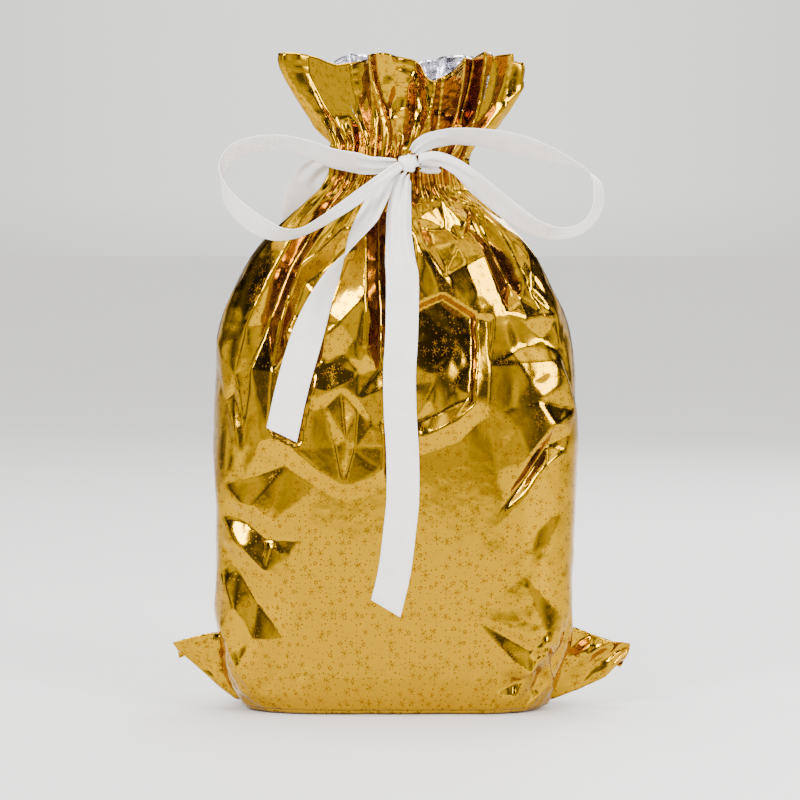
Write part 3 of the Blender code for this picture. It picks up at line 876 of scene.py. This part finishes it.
def facets(size_x, size_z, seed):
    """Heights of flat, sharp-edged facets over the flat film, spread like a normal curve of width 1.

    The corners of the facets are scattered over cells of the given size, in metres of flat film.
    """
    local = np.random.default_rng(seed)
    across = max(int(round(FLAT_ROUND / size_x)), 3)
    up = int(math.ceil(flat_z[-1] / size_z)) + 3
    jitter_x = local.uniform(-FACET_JITTER, FACET_JITTER, (up, across))
    jitter_z = local.uniform(-FACET_JITTER, FACET_JITTER, (up, across))
    height = local.normal(0, 1, (up, across))
    columns = across + 2 * FACET_MARGIN
    wrapped = [(c - FACET_MARGIN) % across for c in range(columns)]
    rows = np.arange(up)[:, None]
    x = (np.arange(columns)[None, :] - FACET_MARGIN + jitter_x[:, wrapped]) * FLAT_ROUND / across
    z = (rows - 1 + jitter_z[:, wrapped]) * size_z
    corners = [Vector(p) for p in np.stack([x, z, height[:, wrapped]], -1).reshape(-1, 3)]
    triangles = []
    for r in range(up - 1):
        for c in range(columns - 1):
            a = r * columns + c
            b, d, e = a + 1, a + columns, a + columns + 1
            triangles += [(a, b, e), (a, e, d)] if local.random() < 0.5 else [(a, b, d), (b, e, d)]
    tree = BVHTree.FromPolygons(corners, triangles)
    return np.array([[height_of(tree, x, z) for x in flat_x] for z in flat_z])


# The film lies in flat facets of several sizes: long ones that fan out below the tie, and crumples near the
# tie, in the frill and at the base's corners. The lower front stays smooth.
low_front = smooth_step(0.020, 0.060, levels) * (1.0 - smooth_step(0.125, 0.165, levels))
on_front = np.exp(-(((around - 0.25) / 0.19) ** 4))
smooth_share = low_front[:, None] * on_front[None, :]
SMOOTHING = 0.85
FACET_HEIGHTS = (0.0, 0.10, 0.18, 0.235, 0.262, 0.28, 0.295, 0.33)
# size across and up, seed, then how deep the facets are at each of those heights
FACETS = [
    (0.036, 0.052, 31, (0.0006, 0.0008, 0.0010, 0.0010, 0.0010, 0.0008, 0.0014, 0.0018)),
    (0.020, 0.026, 32, (0.0005, 0.0005, 0.0006, 0.0007, 0.0009, 0.0008, 0.0010, 0.0013)),
    (0.009, 0.011, 33, (0.0002, 0.0001, 0.00015, 0.0002, 0.0005, 0.0004, 0.00043, 0.0005)),
]
for size_x, size_z, seed, depths in FACETS:
    depth = strength(list(zip(FACET_HEIGHTS, depths))) * (1.0 - SMOOTHING * smooth_share)
    shape[..., :2] += outward * (facets(size_x, size_z, seed) * depth)[..., None]

CORNER_FACET_DEPTH = 0.0017
near_side = smooth_step(0.055, 0.085, np.abs(shape[..., 0]))
base_corner = near_side * (1.0 - smooth_step(0.03, 0.06, levels)[:, None])
shape[..., :2] += outward * (facets(0.012, 0.014, 34) * CORNER_FACET_DEPTH * base_corner)[..., None]


# The ribbon's tails and loops press the film behind them back, and the frill keeps clear of them as it bends.
RIBBON_CLEARANCE = 0.0007
FRILL_BLEND = (FRILL_LOW + 0.0005, FRILL_LOW + 0.010)
strands = bmesh.new()
for name in ("left_ribbon_tail", "long_ribbon_tail", "left_bow_loop", "right_bow_loop"):
    strands.from_mesh(bpy.data.objects[name].data)
STRAND_TREE = BVHTree.FromBMesh(strands)
strands.free()
frill_row = int(np.searchsorted(levels, FRILL_LOW))
collar_joint = next(j for j in frame["joints"] if j["name"] == "collar_bend")
collar_y, collar_z = collar_joint["pos_m"][1:]
collar_reach = math.radians(collar_joint["range_deg"][1])


def ribbon_press(x, y, z, turn):
    """How far back a place on the film goes to clear the ribbon once it has turned with the collar."""
    turned_y = collar_y + (y - collar_y) * math.cos(turn) - (z - collar_z) * math.sin(turn)
    turned_z = collar_z + (y - collar_y) * math.sin(turn) + (z - collar_z) * math.cos(turn)
    hit = STRAND_TREE.ray_cast(Vector((x, 0.0, turned_z)), Vector((0.0, -1.0, 0.0)))[0]
    return 0.0 if hit is None else max(0.0, hit.y + RIBBON_CLEARANCE - turned_y)


press = np.zeros((ROWS, COLUMNS))
for r in range(ROWS):
    furthest = collar_reach * float(smooth_step(*FRILL_BLEND, levels[r]))
    turns = {furthest * share for share in (0.0, 0.25, 0.5, 0.75, 1.0)}
    for c in range(HALF + 1):
        press[r, c] = max(ribbon_press(*shape[r, c], turn) for turn in turns)
neighbours = [np.roll(press, (up, along), (0, 1)) for up in (-1, 0, 1) for along in (-1, 0, 1)]
shape[..., 1] += np.maximum.reduce(neighbours)


# The two panels never pass through each other: each keeps to its own side of a line between the seams.
PANEL_GAP = 0.0018
seam_middle = (shape[:, :1, 1] + shape[:, HALF : HALF + 1, 1]) / 2
half_gap = PANEL_GAP * smooth_step(0.0, SEAM_WIDTH, from_seam)[None, :]
is_front = (around > 0.0) & (around < 0.5)
is_back = around > 0.5
shape[:, is_front, 1] = np.minimum(shape[..., 1], seam_middle - half_gap)[:, is_front]
shape[:, is_back, 1] = np.maximum(shape[..., 1], seam_middle + half_gap)[:, is_back]


def film_sheet(name, points, flat, finishes, node, body):
    """A piece of film from a grid of points in rows, with its flat place as its UV map.

    finishes are the outer face's material and, if given, the inner face's. A piece with no body is left
    unattached.
    """
    rows, columns = points.shape[:2]
    made = mesh_object(name, points.reshape(-1, 3), grid_faces(rows, columns))
    write_uv(made, flat.reshape(-1, 2))
    for finish in finishes:
        made.data.materials.append(finish)
    wall = made.modifiers.new("wall", "SOLIDIFY")
    wall.thickness = FILM_THICKNESS
    wall.offset = -1.0
    wall.material_offset = len(finishes) - 1
    apply_modifiers(made)
    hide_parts(node)
    if body:
        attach(made, body)
    return made


def film_span(low_row, high_row, first, last, inset=0.0):
    """The film's points and flat places over a span of rows and of columns, which may run past the seam."""
    columns = [c % COLUMNS for c in range(first, last + 1)]
    points = shape[low_row : high_row + 1][:, columns]
    points[..., :2] -= outward[low_row : high_row + 1][:, columns] * inset
    across = np.arange(first, last + 1) * FLAT_ROUND / COLUMNS
    flat = np.stack(np.meshgrid(across, flat_z[low_row : high_row + 1]), -1)
    return points, flat


def panel_piece(name, rows, first, finishes, node, body, inset=0.0):
    """Half of the bag's round over a span of rows."""
    points, flat = film_span(*rows, first, first + HALF, inset)
    made = film_sheet(name, points, flat, finishes, node, body)
    return made


SIDES = (("front", 0), ("back", HALF))
FILM = (GOLD, SILVER)
body_rows = (0, frill_row)
frill_rows = (frill_row, ROWS - 1)
for side, first in SIDES:
    panel_piece(f"{side}_film", body_rows, first, FILM, f"{side}_panel", "bag")
    frill = panel_piece(f"{side}_frill", frill_rows, first, FILM, f"collar_{side}", None)
    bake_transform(frill)


# ---- neck channel, base and ears

strip_low, strip_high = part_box("front_channel_strip")
channel_rows = [int(row) for row in np.searchsorted(levels, (strip_low.z, strip_high.z)) - (1, 0)]
STRIP_INSET = 0.0018
RIBBON_INSET = 0.0009
for side, first in SIDES:
    node = f"{side}_channel_strip"
    panel_piece(
        f"{side}_channel_film", channel_rows, first, (SILVER,), node, "bag", STRIP_INSET
    )

points, flat = film_span(*channel_rows, 0, COLUMNS, RIBBON_INSET)
drawstring = film_sheet("channel_ribbon", points, flat, (SATIN,), "neck_ribbon", "bag")

BASE_RINGS = 24
BASE_LIFT = 0.0006
# the rings draw in to this share of the rim less than all of it, and those outside BASE_EDGE stay smooth
BASE_DRAWN_IN = 0.97
BASE_EDGE = 0.93
CRINKLE_HEIGHT = 0.0003
FOLD_HEIGHT = 0.0005
FOLD_HALF_WIDTH = 0.0012


def base_film():
    """The gusset's face that the bag stands on: flat, with soft crinkles and the fold along its middle."""
    rim = shape[0]
    centre = rim.mean(0)
    points = []
    for ring in range(BASE_RINGS + 1):
        share = 1.0 - BASE_DRAWN_IN * ring / BASE_RINGS
        place = centre + (rim - centre) * share
        height = rim[:, 2] if ring == 0 else np.full(COLUMNS, BASE_LIFT)
        if share <= BASE_EDGE:
            noise_places = [Vector((x * CRINKLES, y * CRINKLES, 4.0)) for x, y, _ in place]
            crinkle = np.array([blender_noise(noise_place) for noise_place in noise_places])
            fold_line = np.exp(-((place[:, 1] / FOLD_HALF_WIDTH) ** 2))
            height = height + (CRINKLE_HEIGHT * (crinkle + 1.0) + FOLD_HEIGHT * fold_line)
        points.append(np.column_stack([place[:, :2], height]))
    return np.array(points)


base_points = base_film()[::-1]
base_points = np.concatenate([base_points, base_points[:, :1]], axis=1)
base = film_sheet("base_film", base_points, base_points[..., :2], FILM, "bottom_gusset", "bag")

EAR_ROWS = 61
EAR_COLUMNS = 64
EAR_FLAT_HEIGHT = 0.064
# the crumples' cells up and out along an ear, and how far their corners stand out
EAR_CRUMPLES = ((5, 4, 0.0016), (10, 8, 0.0008), (18, 16, 0.0003))
LAYER_GAP = 0.0005
FOLD_GAP = 0.0002
EAR_GAPE = 0.0024


def corner_ear(side, sign, outline, notch, seed):
    """A corner of the film beside the base: two layers that meet along the bottom fold and gape at the top.

    outline lists x and z of the upper edge, then x and z of the lower edge, from the root to the tip. notch
    is how far the tip of the back layer sits below the front one's. Sharp facets crumple both layers.
    """
    node = f"{side}_corner_ear"
    steps = np.linspace(0, 1, EAR_COLUMNS)
    turn = np.linspace(-1, 1, EAR_ROWS)[:, None] * sign
    knots = np.linspace(0, 1, len(outline))
    upper_x, upper_z, lower_x, lower_z = (np.interp(steps, knots, values) for values in np.array(outline).T)
    up = np.abs(turn)
    layer = -np.sign(turn)
    local = np.random.default_rng(seed)
    crumpled = np.zeros((EAR_ROWS, EAR_COLUMNS))
    for cells_up, cells_out, depth in EAR_CRUMPLES:
        heights = local.normal(0, depth, (cells_up + 1, cells_out + 1))
        at_up = np.linspace(0, cells_up, EAR_ROWS)
        at_out = steps * cells_out
        row = np.minimum(at_up.astype(int), cells_up - 1)
        column = np.minimum(at_out.astype(int), cells_out - 1)
        up_share = (at_up - row)[:, None]
        out_share = (at_out - column)[None, :]
        a, b = heights[row][:, column], heights[row][:, column + 1]
        d, e = heights[row + 1][:, column], heights[row + 1][:, column + 1]
        upper = a + (d - a) * up_share + (e - d) * out_share
        lower = a + (b - a) * out_share + (e - b) * up_share
        crumpled += np.where(up_share > out_share, upper, lower)
    drop = notch * (layer > 0) * smooth_step(0.35, 1.0, steps)[None, :] * up
    points = np.empty((EAR_ROWS, EAR_COLUMNS, 3))
    points[..., 0] = lower_x + (upper_x - lower_x) * up - sign * 0.4 * drop
    gape = FOLD_GAP + EAR_GAPE * up**0.6 * (1.0 - 0.7 * steps)
    apart = gape + layer * crumpled * (0.25 + up)
    points[..., 1] = layer * np.maximum(apart, LAYER_GAP * np.sqrt(up))
    points[..., 2] = lower_z + (upper_z - lower_z) * up - drop
    flat = np.stack(np.meshgrid(steps * np.ptp(upper_x), np.linspace(0, EAR_FLAT_HEIGHT, EAR_ROWS)), -1)
    ear = film_sheet(f"{side}_ear_film", points, flat, FILM, node, None)
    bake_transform(ear)


corner_ear(
    "left",
    -1,
    [
        (-0.0800, 0.0400, -0.0700, 0.0020),
        (-0.0860, 0.0385, -0.0800, 0.0040),
        (-0.0940, 0.0375, -0.0880, 0.0100),
        (-0.1030, 0.0350, -0.0960, 0.0175),
        (-0.1115, 0.0325, -0.1090, 0.0290),
    ],
    0.008,
    5,
)
corner_ear(
    "right",
    1,
    [
        (0.0800, 0.0460, 0.0680, 0.0020),
        (0.0870, 0.0420, 0.0800, 0.0040),
        (0.0990, 0.0370, 0.0930, 0.0090),
        (0.1100, 0.0335, 0.1060, 0.0150),
        (0.1185, 0.0320, 0.1175, 0.0270),
    ],
    0.012,
    8,
)


# ---- floor and light

FLOOR_SIZE = 12.0
BAG_MIDDLE = Vector((0.0, 0.0, 0.16))


def floor_material():
    """A pale matt floor whose tone hardly varies."""
    n = Nodes(bpy.data.materials.new("pale_floor"))
    place = n.add("ShaderNodeTexCoord").outputs["Object"]
    tone = n.ramp(n.noise(place, 6.0, 2.0), [(0.3, (0.81, 0.805, 0.80)), (0.7, (0.83, 0.825, 0.82))])
    n.link(tone, n.shader.inputs["Base Color"])
    n.shader.inputs["Roughness"].default_value = 0.55
    return n.owner


def soft_light(name, place, size, power):
    """A white square area light that faces the bag's middle."""
    lamp = bpy.data.lights.new(name, "AREA")
    lamp.shape = "SQUARE"
    lamp.size = size
    lamp.energy = power
    made = bpy.data.objects.new(name, lamp)
    bpy.context.collection.objects.link(made)
    made.location = place
    made.rotation_euler = (BAG_MIDDLE - Vector(place)).to_track_quat("-Z", "Y").to_euler()


floor_corners = [(x * FLOOR_SIZE, y * FLOOR_SIZE, 0.0) for x, y in ((-1, -1), (1, -1), (1, 1), (-1, 1))]
floor = mesh_object("floor", floor_corners, [(0, 1, 2, 3)])
floor.data.materials.append(floor_material())

soft_light("key", (-0.9, -1.3, 1.1), 0.55, 36.0)
soft_light("fill", (1.1, -1.1, 0.8), 0.60, 24.0)
soft_light("top", (0.0, 0.1, 1.5), 0.7, 20.0)
soft_light("rim", (0.5, 1.3, 0.9), 0.6, 14.0)

SOFT_BOXES = 8.0
ROOM_STRENGTH = 1.65
DARK_GAP = 0.10
WARMTH = (1.0, 0.985, 0.96)
# how bright the room is from straight down, 0, through the horizon, 0.5, to straight up, 1
ROOM = [
    (0.0, 0.2),
    (0.47, 0.5),
    (0.50, 1.0),
    (0.62, 1.0),
    (0.67, 0.10),
    (0.80, 0.06),
    (0.87, 2.5),
    (1.0, 3.0),
]


def studio_world():
    """A pale room with tall soft boxes and dark gaps all round, so that film glints from every side."""
    world = bpy.data.worlds.new("studio")
    bpy.context.scene.world = world
    n = Nodes(world, "Background")
    parts = n.parts(n.add("ShaderNodeTexCoord").outputs["Generated"])
    turn = n.value("ARCTAN2", parts[1], parts[0])
    stripes = n.value("COSINE", n.value("MULTIPLY", turn, SOFT_BOXES))
    band = n.value("ADD", n.value("MULTIPLY", stripes, 0.5), 0.5)
    level = n.value("ADD", n.value("MULTIPLY", parts[2], 0.5), 0.5)
    stops = [(place, tuple(grey * share for share in WARMTH)) for place, grey in ROOM]
    n.link(n.ramp(level, stops), n.shader.inputs["Color"])
    n.link(n.between(band, ROOM_STRENGTH * DARK_GAP, ROOM_STRENGTH), n.shader.inputs["Strength"])


studio_world()
